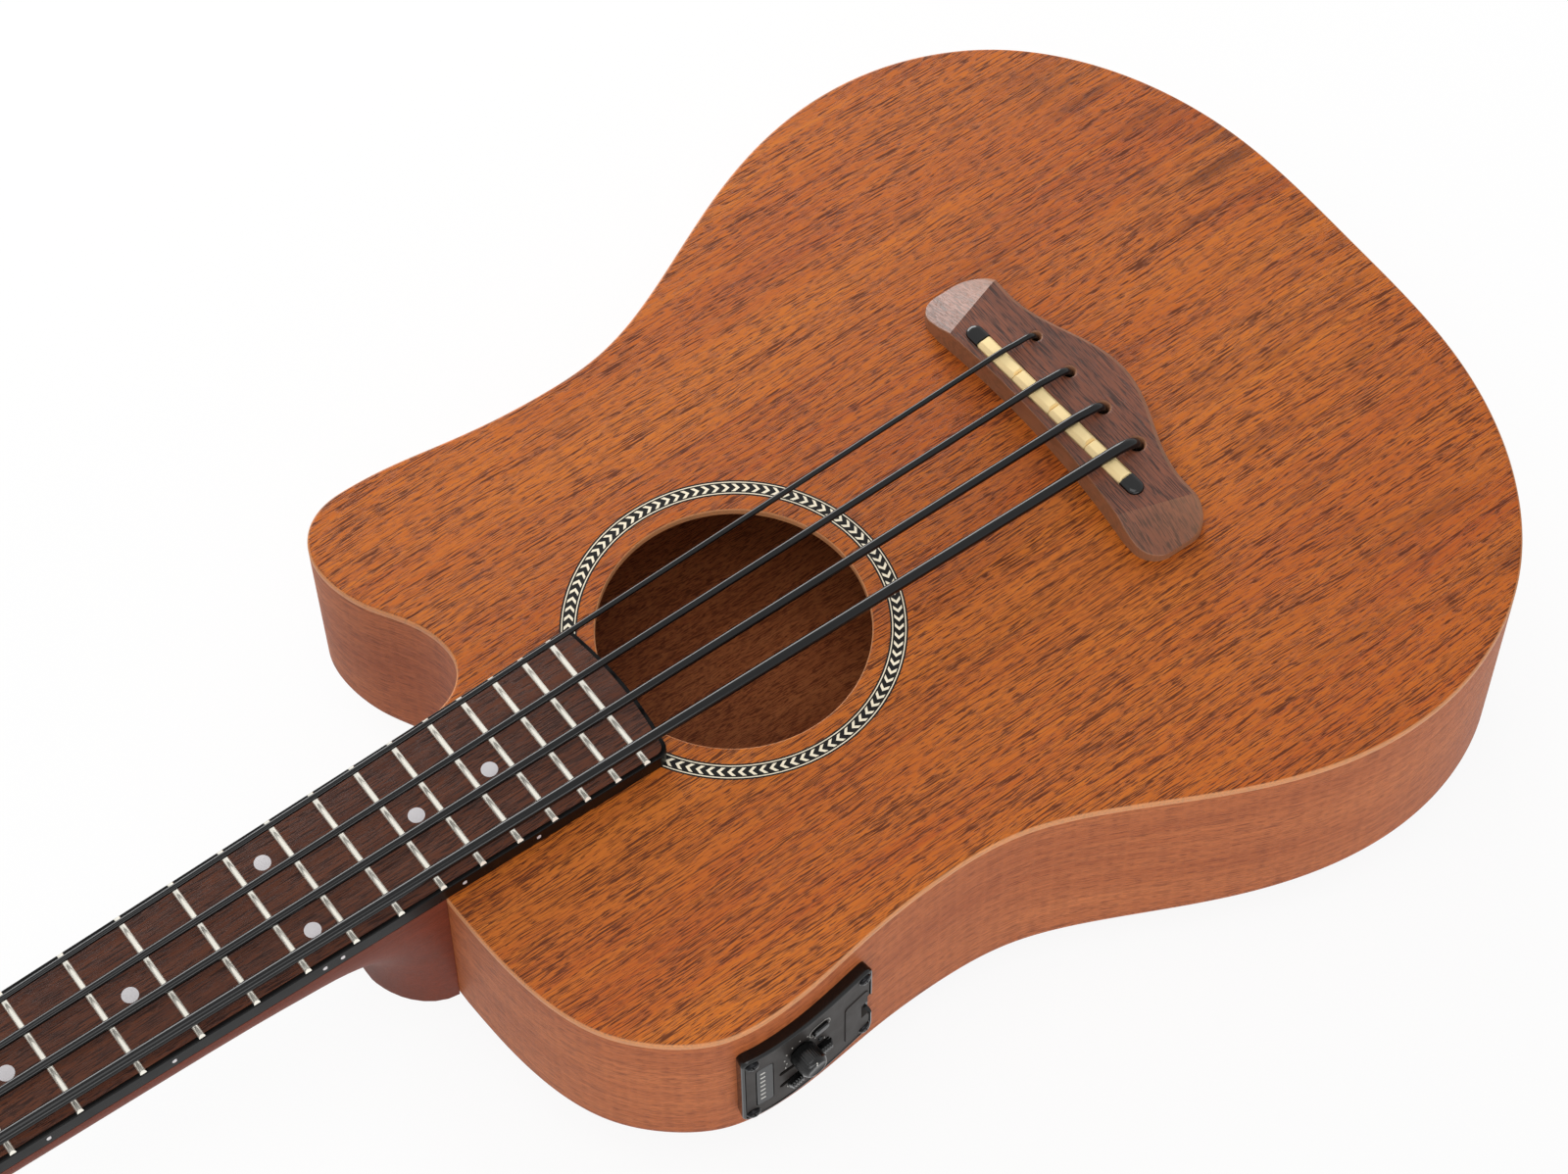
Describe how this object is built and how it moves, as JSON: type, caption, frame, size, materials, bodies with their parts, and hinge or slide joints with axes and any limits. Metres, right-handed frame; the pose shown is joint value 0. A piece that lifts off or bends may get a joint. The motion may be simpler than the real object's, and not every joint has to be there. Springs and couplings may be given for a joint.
{
  "type": "bass ukulele",
  "caption": "Bass ukulele with a cutaway mahogany body, slotted bridge, smooth strings, geared tuning machines and a side preamp.",
  "frame": {"origin": "middle of the whole instrument's length and width, at the lowest line of the arched back", "axes": "+X to the treble side, +Y along the strings to the headstock, +Z out of the soundboard"},
  "size_m": [0.3178, 0.8832, 0.1131],
  "materials": {
    "mahogany_top": "open-pored satin",
    "mahogany_side": "open-pored satin",
    "mahogany_neck": "open-pored satin",
    "bare_wood": "bare",
    "rosewood": "oiled",
    "walnut": "oiled satin",
    "black_plastic": "gloss black",
    "charcoal_plastic": "satin charcoal",
    "string_black": "smooth black",
    "cream_bone": "polished cream",
    "rosette_inlay": "satin inlay",
    "black_metal": "black",
    "steel": "plain",
    "dark_glass": "dark tinted"
  },
  "bodies": {
    "instrument": {"back": "mahogany_side", "back_lining_bass": "bare_wood", "back_lining_treble": "bare_wood", "bridge": "walnut", "bridge_plate": "bare_wood", "display_window": "dark_glass", "fingerboard": "rosewood", "fingerboard_binding": "black_plastic", "headstock_overlay": "rosewood", "jack_lead": "black_plastic", "neck": "mahogany_neck", "neck_block": "bare_wood", "nut": "black_plastic", "output_jack": "black_metal", "pickup_lead": "black_plastic", "preamp_box": "black_plastic", "preamp_panel": "charcoal_plastic", "rosette": "rosette_inlay", "saddle_a": "cream_bone", "saddle_d": "cream_bone", "saddle_e": "cream_bone", "saddle_g": "cream_bone", "saddle_housing": "black_plastic", "side_bass": "mahogany_side", "side_treble": "mahogany_side", "soundboard": "mahogany_top", "string_a": "string_black", "string_d": "string_black", "string_e": "string_black", "string_g": "string_black", "tail_block": "bare_wood", "top_brace_lower": "bare_wood", "top_brace_middle": "bare_wood", "top_brace_upper": "bare_wood", "top_lining_bass": "bare_wood", "top_lining_treble": "bare_wood", "truss_rod": "steel", "tuner_bushing_a": "black_metal", "tuner_bushing_d": "black_metal", "tuner_bushing_e": "black_metal", "tuner_bushing_g": "black_metal", "tuner_plate_a": "black_metal", "tuner_plate_d": "black_metal", "tuner_plate_e": "black_metal", "tuner_plate_g": "black_metal"},
    "volume_knob": {"volume_knob": "black_plastic"},
    "bass_slider": {"bass_slider": "black_plastic"},
    "treble_slider": {"treble_slider": "black_plastic"},
    "tuner_button": {"tuner_button": "black_plastic"},
    "battery_tray": {"battery_tray": "charcoal_plastic", "coin_cells": "steel"},
    "truss_rod_nut": {"truss_rod_nut": "steel"},
    "tuner_post_e": {"tuner_post_e": "black_metal"},
    "tuner_key_e": {"tuner_key_e": "black_metal"},
    "tuner_post_a": {"tuner_post_a": "black_metal"},
    "tuner_key_a": {"tuner_key_a": "black_metal"},
    "tuner_post_d": {"tuner_post_d": "black_metal"},
    "tuner_key_d": {"tuner_key_d": "black_metal"},
    "tuner_post_g": {"tuner_post_g": "black_metal"},
    "tuner_key_g": {"tuner_key_g": "black_metal"}
  },
  "joints": [
    {"name": "volume_knob_turn", "type": "hinge", "parent": "instrument", "child": "volume_knob", "pos_m": [-0.1196, -0.10552, 0.07006], "axis": [-0.9983, -0.0587, 0], "range_deg": [-150, 150]},
    {"name": "bass_slider_travel", "type": "slide", "parent": "instrument", "child": "bass_slider", "axis": [0.0741, -0.9973, 0], "range_m": [-0.0146, 0.0006]},
    {"name": "treble_slider_travel", "type": "slide", "parent": "instrument", "child": "treble_slider", "axis": [0.073, -0.9824, 0.1719], "range_m": [-0.0026, 0.0126]},
    {"name": "tuner_button_press", "type": "slide", "parent": "instrument", "child": "tuner_button", "axis": [0.9934, 0.115, 0], "range_m": [0, 0.0008], "stiffness_N_per_m": 200},
    {"name": "battery_tray_slide", "type": "slide", "parent": "instrument", "child": "battery_tray", "axis": [-0.9872, -0.1594, 0], "range_m": [0, 0.021]},
    {"name": "truss_rod_nut_turn", "type": "hinge", "parent": "instrument", "child": "truss_rod_nut", "pos_m": [0, -0.08572, 0.09056], "axis": [0, 1, 0], "range_deg": [-180, 180]},
    {"name": "key_e_turn", "type": "hinge", "parent": "instrument", "child": "tuner_key_e", "pos_m": [-0.0215, 0.31378, 0.07197], "axis": [1, 0, 0], "continuous": true},
    {"name": "post_e_turn", "type": "hinge", "parent": "instrument", "child": "tuner_post_e", "pos_m": [-0.0215, 0.32712, 0.09076], "axis": [0, 0.2079, 0.9781], "continuous": true},
    {"name": "key_a_turn", "type": "hinge", "parent": "instrument", "child": "tuner_key_a", "pos_m": [-0.0215, 0.3666, 0.06075], "axis": [1, 0, 0], "continuous": true},
    {"name": "post_a_turn", "type": "hinge", "parent": "instrument", "child": "tuner_post_a", "pos_m": [-0.0215, 0.37994, 0.07953], "axis": [0, 0.2079, 0.9781], "continuous": true},
    {"name": "key_d_turn", "type": "hinge", "parent": "instrument", "child": "tuner_key_d", "pos_m": [0.0215, 0.3666, 0.06075], "axis": [1, 0, 0], "continuous": true},
    {"name": "post_d_turn", "type": "hinge", "parent": "instrument", "child": "tuner_post_d", "pos_m": [0.0215, 0.37994, 0.07953], "axis": [0, 0.2079, 0.9781], "continuous": true},
    {"name": "key_g_turn", "type": "hinge", "parent": "instrument", "child": "tuner_key_g", "pos_m": [0.0215, 0.31378, 0.07197], "axis": [1, 0, 0], "continuous": true},
    {"name": "post_g_turn", "type": "hinge", "parent": "instrument", "child": "tuner_post_g", "pos_m": [0.0215, 0.32712, 0.09076], "axis": [0, 0.2079, 0.9781], "continuous": true}
  ],
  "couplings": [
    {"joint": "post_e_turn", "follows": "key_e_turn", "ratio": 0.0625},
    {"joint": "post_a_turn", "follows": "key_a_turn", "ratio": 0.0625},
    {"joint": "post_d_turn", "follows": "key_d_turn", "ratio": -0.0625},
    {"joint": "post_g_turn", "follows": "key_g_turn", "ratio": -0.0625}
  ]
}
